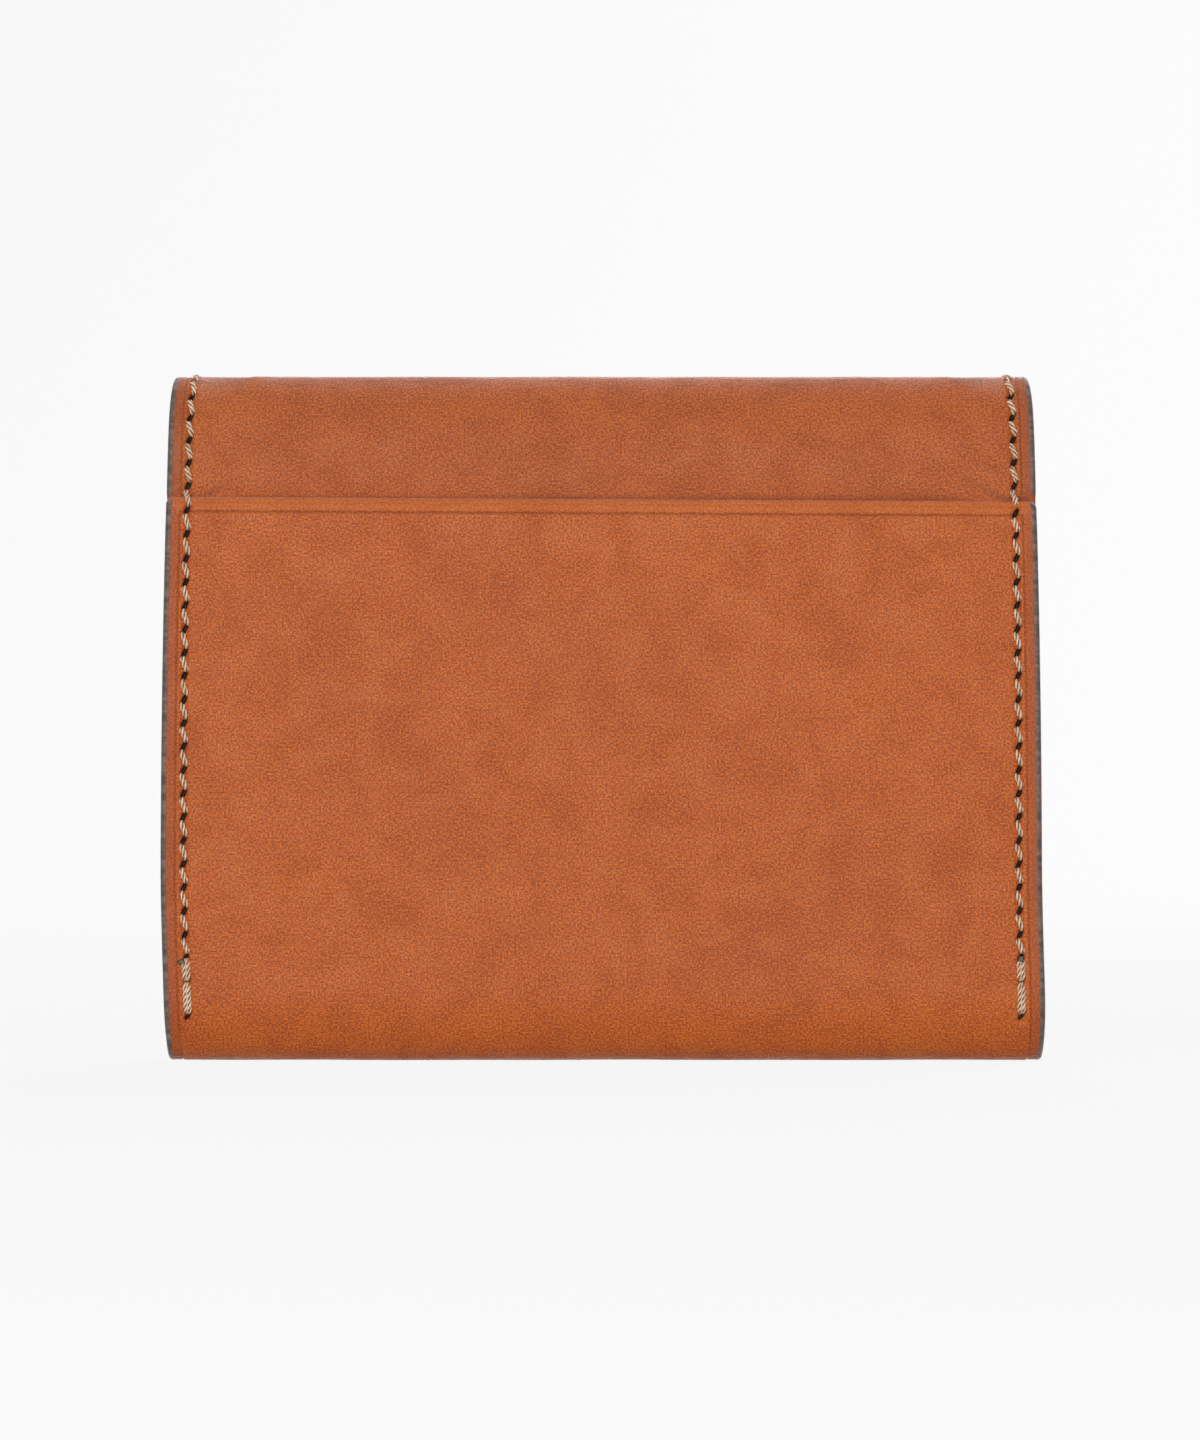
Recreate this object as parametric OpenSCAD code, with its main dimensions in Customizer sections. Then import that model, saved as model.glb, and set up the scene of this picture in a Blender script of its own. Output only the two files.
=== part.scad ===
// Flap card case in vegetable-tanned leather, standing upright on its bottom fold.
// +X is the width, +Z runs up to the top fold, the plain back faces -Y and the flap closes at +Y.
// Origin: middle of the base. The layers are counted from the back face towards the flap.

/* [Case] */
// Width across the bottom, where the case is widest
case_w = 110; // [104:1:124]
// Height from the bottom fold to the top fold
case_h = 85.5; // [80:0.5:96]
// How far each side leans in from the base up to the shoulder
side_lean = 0.5; // [0:0.1:1]
// How far each side leans in above the shoulder
shoulder_lean = 1.1; // [0:0.1:2]
// Height of the shoulder, where the sides start to lean in more
shoulder_h = 58; // [50:1:66]
// Outer radius of the bottom fold
base_r = 3.5; // [3:0.1:4]

/* [Leather] */
// Thickness of the outer leather: shell and flap
leather_t = 1.6; // [1.4:0.1:2]
// Thickness of the lining glued inside the flap leather
lining_t = 0.8; // [0.6:0.1:1]
// Thickness of the inner card slot panel
slot_t = 1; // [0.8:0.1:1.2]
// Thickness of the gussets
gusset_t = 1; // [0.8:0.1:1.2]
// Free gap in a flat slip pocket when it is empty
slip_gap = 0.2; // [0.1:0.1:0.4]

/* [Pockets] */
// Clear depth of the main pocket, front to back
pocket_gap = 5.2; // [5:0.1:8]
// Height of the mouth of the back slip pocket
back_mouth_h = 70; // [60:1:74]
// Height of the front panel, the mouth of the main pocket
front_mouth_h = 66; // [58:1:70]
// Height of the inner card slot panel
slot_h = 62; // [54:1:66]
// Radius of the thumb notch in the card slot panel
notch_r = 9; // [6:0.5:12]
// How far the folded gusset reaches in from the side edge
gusset_in = 8.5; // [7:0.5:10]

/* [Flap] */
// Outer radius of the two creases at the top
crease_r = 4.5; // [4:0.1:5]
// How far the flap hangs down over the front
flap_drop = 50; // [42:1:56]
// Corner radius of the flap
flap_corner_r = 10; // [6:1:16]
// Gap left at each crease between the pieces that fold
crease_gap = 0.3; // [0.2:0.1:0.5]

/* [Stitching] */
// Distance of the seam from the leather's edge
seam_inset = 2.7; // [2.3:0.1:3.5]
// Width of the thread
thread_w = 0.8; // [0.6:0.1:1]
// Depth of the groove that the thread lies in
thread_d = 0.5; // [0.3:0.1:0.6]
// Room on each side of the thread in its groove
groove_room = 0.1; // [0.05:0.05:0.2]
// Height at which the side seams start
seam_start = 5.6; // [5:0.1:8]

/* [Snap fastener] */
// Diameter of the cap on the flap
cap_d = 12; // [10:0.5:14]
// Height of the cap's rim
cap_rim_h = 0.5; // [0.4:0.1:0.8]
// Height of the cap's dome above its rim
cap_dome_h = 0.7; // [0.5:0.1:1.2]
// Height of the snap above the flap's lower edge
snap_rise = 11; // [9:0.5:15]
// Gap between the front panel and the flap, which the snap fills
snap_gap = 2; // [2:0.1:2.4]
// Diameter of the socket inside the flap
socket_d = 9; // [8:0.5:10]
// Diameter of the socket's bore
socket_bore_d = 5; // [4.8:0.1:5.4]
// Thickness of the socket's closed base
socket_base_t = 0.3; // [0.2:0.1:0.4]
// Diameter of the stud that enters the socket
stud_d = 4; // [3.6:0.1:4.2]
// Diameter of the flange under the stud
stud_flange_d = 8; // [7:0.5:9]
// Thickness of the flange under the stud
stud_flange_t = 0.5; // [0.4:0.1:0.6]
// Diameter of the rivet head inside the main pocket
post_head_d = 7; // [6:0.5:8]
// Thickness of that rivet head
post_head_t = 0.5; // [0.3:0.1:0.6]
// Diameter of the shanks that pass through the leather
shank_d = 3; // [2.4:0.1:3.4]

/* [Hidden] */
$fn = 96;

// Colours
tan_leather = [0.73, 0.39, 0.22];
deep_leather = [0.62, 0.31, 0.17];
lining_leather = [0.70, 0.47, 0.30];
thread_beige = [0.80, 0.66, 0.50];
brass = [0.78, 0.61, 0.33];

// Depth of each layer's back face, from the back of the case
depth = 2 * leather_t + 2 * slip_gap + lining_t + slot_t + pocket_gap + leather_t
    + snap_gap + lining_t + leather_t + cap_rim_h + cap_dome_h;
back_y = -depth / 2;
wall_y = back_y + leather_t + slip_gap;
wall_lining_y = wall_y + leather_t;
slot_y = wall_lining_y + lining_t + slip_gap;
pocket_y = slot_y + slot_t;
front_y = pocket_y + pocket_gap;
front_face_y = front_y + leather_t;
flap_lining_y = front_face_y + snap_gap;
flap_y = flap_lining_y + lining_t;
flap_face_y = flap_y + leather_t;

// Heights
layer_z = base_r + crease_gap;
flap_z = case_h - flap_drop;
crease_z = case_h - crease_r;
seam_top_gap = 2;
snap_z = flap_z + snap_rise;
hole_room = 0.1;
far = 2 * (case_w + case_h);

// Half the width of the case at a height, less an inset
function half_w(z, inset) = case_w / 2 - inset - (z < shoulder_h
    ? side_lean * z / shoulder_h
    : side_lean + shoulder_lean * (z - shoulder_h) / (case_h - shoulder_h));

// Outline of the whole case seen from the front, drawn in from its sides
module case_outline(inset = 0) {
    polygon([
        [-half_w(0, inset), 0],
        [half_w(0, inset), 0],
        [half_w(shoulder_h, inset), shoulder_h],
        [half_w(case_h, inset), case_h],
        [-half_w(case_h, inset), case_h],
        [-half_w(shoulder_h, inset), shoulder_h]
    ]);
}

// Part of an outline between two heights
module between(low, high) {
    intersection() {
        children();
        translate([-far / 2, low])
            square([far, high - low]);
    }
}

// Outline of the flap, with rounded lower corners, drawn in from its edges
module flap_outline(inset = 0) {
    r = flap_corner_r - inset;
    half = half_w(case_h, inset);
    low = flap_z + inset;
    for (side = [-1, 1])
        translate([side * (half - r), low + r])
            circle(r);
    translate([-half, low + r])
        square([2 * half, case_h - low - r]);
    translate([-half + r, low])
        square([2 * half - 2 * r, r]);
}

// Row of thread along the sides of the case, or its groove when room is given
module side_seam(low, high, room = 0) {
    between(low - room, high + room)
        difference() {
            case_outline(seam_inset - thread_w / 2 - room);
            case_outline(seam_inset + thread_w / 2 + room);
        }
}

// Row of thread round the flap, or its groove when room is given
module flap_seam(room = 0) {
    between(flap_z, crease_z)
        difference() {
            flap_outline(seam_inset - thread_w / 2 - room);
            flap_outline(seam_inset + thread_w / 2 + room);
        }
}

// Upright plate from y to y + t, cut to an outline seen from the front
module plate(y, t) {
    translate([0, y + t, 0])
        rotate([90, 0, 0])
            linear_extrude(t)
                children();
}

// Profile seen from the side, run across the whole width
module across() {
    rotate([90, 0, 90])
        linear_extrude(far, center = true)
            children();
}

// Left or right half of the case
module half_space(side) {
    translate([side * far / 2, 0, 0])
        cube([far, far, far], center = true);
}

// Solid side profile with two rounded corners at its top
module arch(low_y, high_y, top, r) {
    translate([low_y, layer_z])
        square([high_y - low_y, top - r - layer_z]);
    translate([low_y + r, layer_z])
        square([high_y - low_y - 2 * r, top - layer_z]);
    for (y = [low_y + r, high_y - r])
        translate([y, top - r])
            circle(r);
}

// Side profile of one layer that runs up the back wall, over the top and down the flap
module folded_layer(inset, t) {
    difference() {
        arch(wall_y + inset, flap_face_y - inset, case_h - inset, crease_r - inset);
        translate([0, -t])
            arch(wall_y + inset + t, flap_face_y - inset - t, case_h - inset,
                crease_r - inset - t);
        translate([wall_y + inset + t, layer_z])
            square([flap_face_y - wall_y - 2 * inset - 2 * t, leather_t + lining_t]);
    }
}

// Everything on the back wall's side of the first crease
module wall_zone() {
    intersection() {
        translate([wall_y + crease_r, crease_z])
            rotate(45)
                translate([-far - crease_gap / 2, -far])
                    square([far, 2 * far]);
        translate([wall_y, 0])
            square([crease_r, case_h]);
    }
}

// Everything between the two creases
module spine_zone() {
    intersection() {
        translate([wall_y + crease_r, crease_z])
            rotate(45)
                translate([crease_gap / 2, -far])
                    square([far, 2 * far]);
        translate([flap_face_y - crease_r, crease_z])
            rotate(-45)
                translate([-far - crease_gap / 2, -far])
                    square([far, 2 * far]);
    }
}

// Everything on the flap's side of the second crease
module flap_zone() {
    intersection() {
        translate([flap_face_y - crease_r, crease_z])
            rotate(-45)
                translate([crease_gap / 2, -far])
                    square([far, 2 * far]);
        translate([flap_face_y - crease_r, 0])
            square([crease_r, case_h]);
    }
}

// Round piece whose axis runs towards the flap, starting at y and at the snap's height
module along_y(y) {
    translate([0, y, snap_z])
        rotate([-90, 0, 0])
            children();
}

// Back panel of the outer shell: the front wall of the back slip pocket
module shell_back() {
    color(tan_leather)
        difference() {
            plate(back_y, leather_t)
                between(layer_z - crease_gap, back_mouth_h)
                    case_outline();
            plate(back_y, thread_d)
                side_seam(seam_start, back_mouth_h + 1, groove_room);
        }
}

// Bottom fold of the outer shell, with the flat strip that the case stands on
module shell_base() {
    color(tan_leather)
        intersection() {
            across()
                difference() {
                    union() {
                        translate([back_y + base_r, 0])
                            square([front_face_y - back_y - 2 * base_r, leather_t]);
                        for (y = [back_y + base_r, front_face_y - base_r])
                            translate([y, base_r])
                                circle(base_r);
                    }
                    translate([back_y, base_r])
                        square([front_face_y - back_y, base_r]);
                    translate([back_y + base_r, leather_t])
                        square([front_face_y - back_y - 2 * base_r, base_r]);
                    for (y = [back_y + base_r, front_face_y - base_r])
                        translate([y, base_r])
                            circle(base_r - leather_t);
                }
            plate(back_y, depth)
                case_outline();
        }
}

// Front panel of the outer shell, under the flap
module shell_front() {
    color(tan_leather)
        difference() {
            plate(front_y, leather_t)
                between(layer_z, front_mouth_h)
                    case_outline();
            plate(front_face_y - thread_d, thread_d)
                side_seam(seam_start, front_mouth_h - seam_top_gap, groove_room);
            along_y(front_y)
                cylinder(h = leather_t, d = shank_d + 2 * hole_room);
        }
}

// Back wall: the lower end of the flap leather, behind the back slip pocket
module flap_back_wall() {
    color(tan_leather)
        difference() {
            intersection() {
                across()
                    intersection() {
                        folded_layer(0, leather_t);
                        wall_zone();
                    }
                plate(wall_y, depth)
                    case_outline();
            }
            plate(wall_y, thread_d)
                side_seam(back_mouth_h, crease_z, groove_room);
        }
}

// Spine: the stretch of the flap leather over the top
module flap_spine() {
    color(tan_leather)
        difference() {
            intersection() {
                across()
                    intersection() {
                        folded_layer(0, leather_t);
                        spine_zone();
                    }
                plate(wall_y, depth)
                    case_outline();
            }
            spine_seam(groove_room);
        }
}

// Flap over the front
module flap_front() {
    color(tan_leather)
        difference() {
            intersection() {
                across()
                    intersection() {
                        folded_layer(0, leather_t);
                        flap_zone();
                    }
                plate(wall_y, depth)
                    flap_outline();
            }
            plate(flap_face_y - thread_d, thread_d)
                flap_seam(groove_room);
            along_y(flap_y)
                cylinder(h = leather_t, d = shank_d + 2 * hole_room);
        }
}

// Lining glued to the inside of the back wall
module lining_back() {
    color(lining_leather)
        intersection() {
            across()
                intersection() {
                    folded_layer(leather_t, lining_t);
                    wall_zone();
                }
            plate(wall_y, depth)
                case_outline();
        }
}

// Lining glued under the spine
module lining_spine() {
    color(lining_leather)
        intersection() {
            across()
                intersection() {
                    folded_layer(leather_t, lining_t);
                    spine_zone();
                }
            plate(wall_y, depth)
                case_outline();
        }
}

// Lining glued to the inside of the flap
module lining_front() {
    color(lining_leather)
        difference() {
            intersection() {
                across()
                    intersection() {
                        folded_layer(leather_t, lining_t);
                        flap_zone();
                    }
                plate(wall_y, depth)
                    flap_outline();
            }
            along_y(flap_lining_y)
                cylinder(h = lining_t, d = shank_d + 2 * hole_room);
        }
}

// Inner card slot panel, with a thumb notch in its mouth
module card_slot_panel() {
    color(deep_leather)
        plate(slot_y, slot_t)
            difference() {
                between(layer_z, slot_h)
                    case_outline();
                translate([0, slot_h])
                    circle(notch_r);
            }
}

// Gusset: a strip folded inwards that joins the back to the front panel at one side
module gusset(side) {
    fold_r = pocket_gap / 2;
    color(deep_leather)
        intersection() {
            translate([0, 0, layer_z])
                linear_extrude(slot_h - layer_z)
                    difference() {
                        gusset_section(side, fold_r, 0);
                        gusset_section(side, fold_r - gusset_t, 1);
                    }
            plate(wall_y, depth)
                case_outline();
        }
}

// Filled section of a gusset seen from above, with a round inner end
module gusset_section(side, r, past_edge) {
    fold_x = case_w / 2 - gusset_in + pocket_gap / 2;
    translate([side * fold_x, pocket_y + pocket_gap / 2])
        circle(r);
    translate([side * (fold_x + case_w / 2 + past_edge) / 2, pocket_y + pocket_gap / 2])
        square([case_w / 2 + past_edge - fold_x, 2 * r], center = true);
}

// Gusset on the left, seen from the back
module gusset_left() {
    gusset(-1);
}

// Gusset on the right, seen from the back
module gusset_right() {
    gusset(1);
}

// Thread of one side seam on the back: on the slip pocket panel and on the wall above it
module back_seam(side) {
    color(thread_beige)
        intersection() {
            union() {
                plate(back_y, thread_d)
                    side_seam(seam_start, back_mouth_h);
                plate(wall_y, thread_d)
                    side_seam(back_mouth_h, crease_z);
            }
            half_space(side);
        }
}

// Thread of the left back seam
module thread_back_left() {
    back_seam(-1);
}

// Thread of the right back seam
module thread_back_right() {
    back_seam(1);
}

// Two short rows across the spine, or their grooves when room is given
module spine_seam(room = 0) {
    seam_x = half_w(case_h, seam_inset);
    length = flap_face_y - wall_y - 2 * crease_r;
    for (side = [-1, 1])
        translate([side * seam_x, (wall_y + flap_face_y) / 2, case_h - thread_d / 2])
            cube([thread_w + 2 * room, length + 2 * room, thread_d], center = true);
}

// Thread over the spine
module thread_spine() {
    color(thread_beige)
        spine_seam();
}

// Thread round the flap
module thread_flap() {
    color(thread_beige)
        plate(flap_face_y - thread_d, thread_d)
            flap_seam();
}

// Thread of one side seam on the front panel
module front_seam(side) {
    color(thread_beige)
        intersection() {
            plate(front_face_y - thread_d, thread_d)
                side_seam(seam_start, front_mouth_h - seam_top_gap);
            half_space(side);
        }
}

// Thread of the left front seam
module thread_front_left() {
    front_seam(-1);
}

// Thread of the right front seam
module thread_front_right() {
    front_seam(1);
}

// Domed cap on the flap with its shank through the leather
module snap_cap() {
    dome_r = (pow(cap_d / 2, 2) + pow(cap_dome_h, 2)) / (2 * cap_dome_h);
    color(brass) {
        along_y(flap_face_y)
            cylinder(h = cap_rim_h, d = cap_d);
        along_y(flap_face_y + cap_rim_h)
            intersection() {
                translate([0, 0, cap_dome_h - dome_r])
                    sphere(dome_r, $fn = 256);
                cylinder(h = cap_dome_h, d = cap_d);
            }
        along_y(flap_lining_y)
            cylinder(h = lining_t + leather_t, d = shank_d);
    }
}

// Socket inside the flap
module snap_socket() {
    socket_h = snap_gap / 2 + socket_base_t;
    color(brass)
        along_y(flap_lining_y - socket_h)
            difference() {
                cylinder(h = socket_h, d = socket_d);
                translate([0, 0, -1])
                    cylinder(h = socket_h - socket_base_t + 1, d = socket_bore_d);
            }
}

// Stud on the front panel, which the socket closes over
module snap_stud() {
    color(brass)
        along_y(front_face_y) {
            cylinder(h = stud_flange_t, d = stud_flange_d);
            cylinder(h = snap_gap - 2 * socket_base_t, d = stud_d);
        }
}

// Rivet that holds the stud, from inside the main pocket
module snap_post() {
    color(brass) {
        along_y(front_y - post_head_t)
            cylinder(h = post_head_t, d = post_head_d);
        along_y(front_y)
            cylinder(h = leather_t, d = shank_d);
    }
}

shell_back();
shell_base();
shell_front();
flap_back_wall();
flap_spine();
flap_front();
lining_back();
lining_spine();
lining_front();
card_slot_panel();
gusset_left();
gusset_right();
thread_back_left();
thread_back_right();
thread_spine();
thread_flap();
thread_front_left();
thread_front_right();
snap_cap();
snap_socket();
snap_stud();
snap_post();
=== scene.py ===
import math

import bmesh
import bpy
import numpy as np
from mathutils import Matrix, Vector


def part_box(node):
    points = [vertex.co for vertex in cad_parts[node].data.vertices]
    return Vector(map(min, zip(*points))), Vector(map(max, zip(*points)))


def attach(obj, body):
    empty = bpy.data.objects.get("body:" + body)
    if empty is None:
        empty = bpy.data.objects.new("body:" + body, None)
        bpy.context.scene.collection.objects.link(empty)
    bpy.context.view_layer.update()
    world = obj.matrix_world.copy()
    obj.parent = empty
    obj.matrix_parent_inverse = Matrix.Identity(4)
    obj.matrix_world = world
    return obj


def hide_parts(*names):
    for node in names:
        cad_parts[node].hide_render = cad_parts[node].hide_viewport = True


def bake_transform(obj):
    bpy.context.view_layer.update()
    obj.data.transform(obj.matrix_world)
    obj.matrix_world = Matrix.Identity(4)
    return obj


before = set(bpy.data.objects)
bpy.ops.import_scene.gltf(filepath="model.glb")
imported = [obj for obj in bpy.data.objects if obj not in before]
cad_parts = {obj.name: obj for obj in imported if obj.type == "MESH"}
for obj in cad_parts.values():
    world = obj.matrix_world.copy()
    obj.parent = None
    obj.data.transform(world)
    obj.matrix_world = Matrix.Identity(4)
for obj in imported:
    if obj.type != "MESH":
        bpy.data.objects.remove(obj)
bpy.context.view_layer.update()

MM = 0.001

# ---------------- dimensions from the frame
SHELL_LOW, SHELL_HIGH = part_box("shell_back")
FRONT_LOW, FRONT_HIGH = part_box("shell_front")
FLAP_LOW, FLAP_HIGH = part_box("flap_front")
SLOT_LOW, SLOT_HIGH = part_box("card_slot_panel")
GUSSET_LOW, GUSSET_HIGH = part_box("gusset_right")
CAP_LOW, CAP_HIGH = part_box("snap_cap")
SOCKET_LOW, SOCKET_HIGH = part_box("snap_socket")
STUD_LOW, STUD_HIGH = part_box("snap_stud")
POST_LOW, POST_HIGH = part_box("snap_post")

BACK_Y = SHELL_LOW.y                      # outside of the slip pocket
MOUTH_Z = SHELL_HIGH.z                    # mouth of the slip pocket
FRONT_FACE_Y = FRONT_HIGH.y               # outside of the front panel
FRONT_Z = FRONT_HIGH.z                    # mouth of the main pocket
LEATHER = FRONT_HIGH.y - FRONT_LOW.y      # thickness of the shell and the flap
WALL_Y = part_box("flap_back_wall")[0].y    # outside of the wall above the slip pocket
FLAP_FACE_Y = FLAP_HIGH.y                 # outside of the flap
FLAP_Z = FLAP_LOW.z                       # lower edge of the flap
TOP_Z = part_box("flap_spine")[1].z         # top of the case
SPINE_Y = (WALL_Y + FLAP_FACE_Y) / 2      # middle of the top
SNAP_Z = (CAP_LOW.z + CAP_HIGH.z) / 2     # height of the snap

# ---------------- how the leather lies
LINING = 0.8 * MM        # thickness of the lining
CORNER_Y = 4.6 * MM      # how far a fold reaches across the depth
CORNER_Z = 9.0 * MM      # how far a fold reaches along the height
REAR_Z = 13.0 * MM       # the same for the fold above the back wall, which is gentler
WALL_RISE = 0.6 * MM     # how far the back wall swells outwards above the slip pocket
LIP_DROP = 0.3 * MM      # how far the slip pocket's lip is pressed inwards
LAYER_START = 5.5 * MM   # height at which the inner layers start above the fold
CREASE_IN = 1.8 * MM     # creased line, from the edge
SEAM_IN = 2.7 * MM       # seam, from the edge
SEAM_DRIFT = 0.3 * MM    # how much further in the back seams are at their lower ends
PITCH = 2.925 * MM       # distance between two stitches
BACK_SEAM_Z = 68.8 * MM  # height of the highest hole in the slip pocket
WALL_SEAM_Z = 71.3 * MM  # height of the lowest hole in the wall above it
FRONT_SEAM_Z = 6.0 * MM  # height of the lowest hole in the front panel
EDGE_R = 0.68 * MM       # burnished rounding of an edge
SMALL_CORNER = 0.9 * MM  # radius of a plain corner of a sheet
FLAP_CORNER = 10 * MM    # radius of the flap's lower corners
CREASE_WIDE = 0.13 * MM  # half width of the creased line
CREASE_DEEP = 0.13 * MM
CHANNEL_WIDE = 0.42 * MM  # half width of the channel in which a seam lies
CHANNEL_DEEP = 0.26 * MM
MARGIN_DEEP = 0.05 * MM  # how far the margin outside the crease is pressed in
BAND = 4.6 * MM          # margin in which the mesh follows the edge
RELIEF_ROWS = 0.26 * MM  # spacing of mesh rows along a stitched sheet


def smooth(t):
    """0 below 0, 1 above 1 and a smooth step between."""
    t = np.clip(t, 0.0, 1.0)
    return t * t * (3 - 2 * t)


def lean(z):
    """How far the hand-stitched case stands out of true sideways at a height."""
    return -0.15 * MM + 0.5 * MM * smooth(1 - z / (25 * MM))


def shell_half(z):
    """Half width of the outer shell at a height."""
    low = 0.35 * MM * np.clip(1 - z / (10 * MM), 0, 1) ** 3
    high = 0.72 * MM * np.clip((z - 15 * MM) / (55 * MM), 0, 2) ** 2.2
    return 54.9 * MM - low - high


def wall_half(z):
    """Half width of the flap leather and its lining at a height on the back."""
    up = np.clip((z - MOUTH_Z) / (TOP_Z - MOUTH_Z), 0, 1)
    above = 54.2 * MM - 0.35 * MM * up - 0.3 * MM * up ** 8
    return np.where(z < MOUTH_Z, shell_half(z) - 0.05 * MM, above)


def flap_half(z):
    """Half width of the flap at a height on the front."""
    return 53.05 * MM + 0.6 * MM * np.clip((TOP_Z - z) / (TOP_Z - FLAP_Z), 0, 1) ** 0.7


def quarter(cy, cz, start, end, ry=CORNER_Y, rz=CORNER_Z):
    """Points of a quarter ellipse in Y and Z."""
    a = np.radians(np.linspace(start, end, 41))
    return np.stack([cy + ry * np.cos(a), cz + rz * np.sin(a)], 1)


def upright_line(y, start, end, count=80):
    """Points along a nearly vertical stretch. y is a number or a function of the height."""
    z = np.linspace(start, end, count)
    return np.stack([y(z) if callable(y) else np.full(count, y), z], 1)


class Sheet:
    """Leather bent along a path in Y and Z. A point is x across, s along and h above the shown face."""

    def __init__(self, pieces, side, half, tilt=0.0):
        """side: 1 or -1, on which side of the path the shown face is; tilt: how much the mouth is askew."""
        self.tilt = tilt
        points = np.concatenate(pieces)
        keep = np.concatenate([[True], np.hypot(*np.diff(points, axis=0).T) > 1e-7])
        self.p = points[keep]
        self.s = np.concatenate([[0.0], np.cumsum(np.hypot(*np.diff(self.p, axis=0).T))])
        tangent = np.gradient(self.p, self.s, axis=0)
        tangent /= np.linalg.norm(tangent, axis=1)[:, None]
        self.n = side * np.stack([tangent[:, 1], -tangent[:, 0]], 1)
        self.half_at = np.array([half(y, z) for y, z in self.p])
        self.length = self.s[-1]

    def half(self, s):
        return np.interp(s, self.s, self.half_at)

    def height(self, s):
        return np.interp(s, self.s, self.p[:, 1])

    def along(self, y_side, z):
        """The s at which the path is at height z, on the stretch whose Y is nearest y_side."""
        near = np.abs(self.p[:, 0] - y_side) * 0.5 + np.abs(self.p[:, 1] - z)
        return self.s[np.argmin(near)]

    def place(self, x, s, h):
        y = np.interp(s, self.s, self.p[:, 0]) + h * np.interp(s, self.s, self.n[:, 0])
        z = np.interp(s, self.s, self.p[:, 1]) + h * np.interp(s, self.s, self.n[:, 1])
        rise = -self.tilt * x / (54 * MM) * smooth((z - MOUTH_Z + 7 * MM) / (6 * MM))
        return np.stack([x + lean(z), y, z + rise], -1)

    def fold(self, s):
        """How much the sheet has turned away from upright, 0 to 1."""
        return 1 - np.abs(np.interp(s, self.s, self.n[:, 0]))


# ---------------- sheets of the case
def lip_y(z):
    """Y of the slip pocket's outside at a height."""
    return BACK_Y + LIP_DROP * np.exp(-(((MOUTH_Z - z) / (3 * MM)) ** 2))


def rear_y(z):
    """Y of the back wall's outside at a height."""
    return WALL_Y - WALL_RISE * smooth((z - MOUTH_Z + 5 * MM) / (7.5 * MM))


def shell_sheet():
    """Outer shell, from the mouth of the slip pocket down, under and up the front."""
    return Sheet([
        upright_line(lip_y, CORNER_Z, MOUTH_Z)[::-1],
        quarter(BACK_Y + CORNER_Y, CORNER_Z, 180, 270),
        quarter(FRONT_FACE_Y - CORNER_Y, CORNER_Z, 270, 360),
        upright_line(FRONT_FACE_Y, CORNER_Z, FRONT_Z),
    ], 1, lambda y, z: shell_half(z), tilt=0.3 * MM)


def flap_half_anywhere(y, z):
    """Half width of the flap leather at a point of its path."""
    share = smooth((y - WALL_Y) / (FLAP_FACE_Y - WALL_Y))
    return (1 - share) * wall_half(z) + share * flap_half(z)


def flap_points(inset):
    """Path of the flap leather or of a layer inside it: up the back wall, over the top, down the flap."""
    turn = TOP_Z - CORNER_Z
    return [
        upright_line(lambda z: rear_y(z) + inset, LAYER_START, TOP_Z - REAR_Z),
        quarter(WALL_Y + CORNER_Y, TOP_Z - REAR_Z, 180, 90,
                CORNER_Y + WALL_RISE - inset, REAR_Z - inset),
        quarter(FLAP_FACE_Y - CORNER_Y, turn, 90, 0, CORNER_Y - inset, CORNER_Z - inset),
        upright_line(FLAP_FACE_Y - inset, turn, FLAP_Z, 60),
    ]


def squeeze(y, z):
    """Y of an inner layer at a height, pressed towards the middle where the shell turns in."""
    share = np.clip((CORNER_Z - z) / CORNER_Z, 0, 1)
    turn_in = CORNER_Y * (1 - np.sqrt(1 - share ** 2))
    middle = (BACK_Y + FRONT_FACE_Y) / 2
    return middle + (y - middle) * (1 - turn_in / (FRONT_FACE_Y - middle))


# ---------------- stitched seams
HOLE_LONG = 0.8 * MM     # half length of an awl hole
HOLE_WIDE = 0.29 * MM    # half width of an awl hole
HOLE_DEEP = 0.6 * MM
HOLE_SLANT = math.radians(27)


class Seam:
    """Awl holes along a sheet: their places, the direction of the seam and the slant of each hole."""

    def __init__(self, places, tangents, hand, drift=None):
        self.drift = drift
        self.c = np.array(places, float).reshape(-1, 2)
        self.t = np.array(tangents, float).reshape(-1, 2)
        turn = HOLE_SLANT * hand
        c, s = math.cos(turn), math.sin(turn)
        self.u = np.stack([c * self.t[:, 0] - s * self.t[:, 1], s * self.t[:, 0] + c * self.t[:, 1]], 1)


def side_seam(sheet, side, s, hand, drift=0.0):
    """Seam beside one edge of a sheet, with holes at the given s."""
    x = side * (sheet.half(s) - SEAM_IN - drift * (s - s[0]) / (s[-1] - s[0]))
    return Seam(np.stack([x, s], 1), [[0, 1]] * len(s), hand, drift)


def flap_loop(sheet, first, corner_r, hand):
    """Seam down one side of the flap, round its lower edge and up the other side."""
    end, r = sheet.length - SEAM_IN, corner_r - SEAM_IN
    half = float(sheet.half(sheet.length - corner_r)) - SEAM_IN
    straight, arc = end - r - first, math.pi / 2 * r
    total = 2 * (straight + arc + half - r)
    places, tangents = [], []
    for q in np.linspace(0, total, round(total / PITCH) + 1):
        side = 1 if q <= total / 2 else -1
        q = min(q, total - q)
        if q <= straight:
            x, s, turn = float(sheet.half(first + q)) - SEAM_IN, first + q, 0.0
        elif q <= straight + arc:
            turn = (q - straight) / r
            x, s = half - r + r * math.cos(turn), end - r + r * math.sin(turn)
        else:
            x, s, turn = half - r - (q - straight - arc), end, math.pi / 2
        places.append((side * x, s))
        tangents.append((-math.sin(turn), side * math.cos(turn)))
    return Seam(places, tangents, hand)


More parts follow.
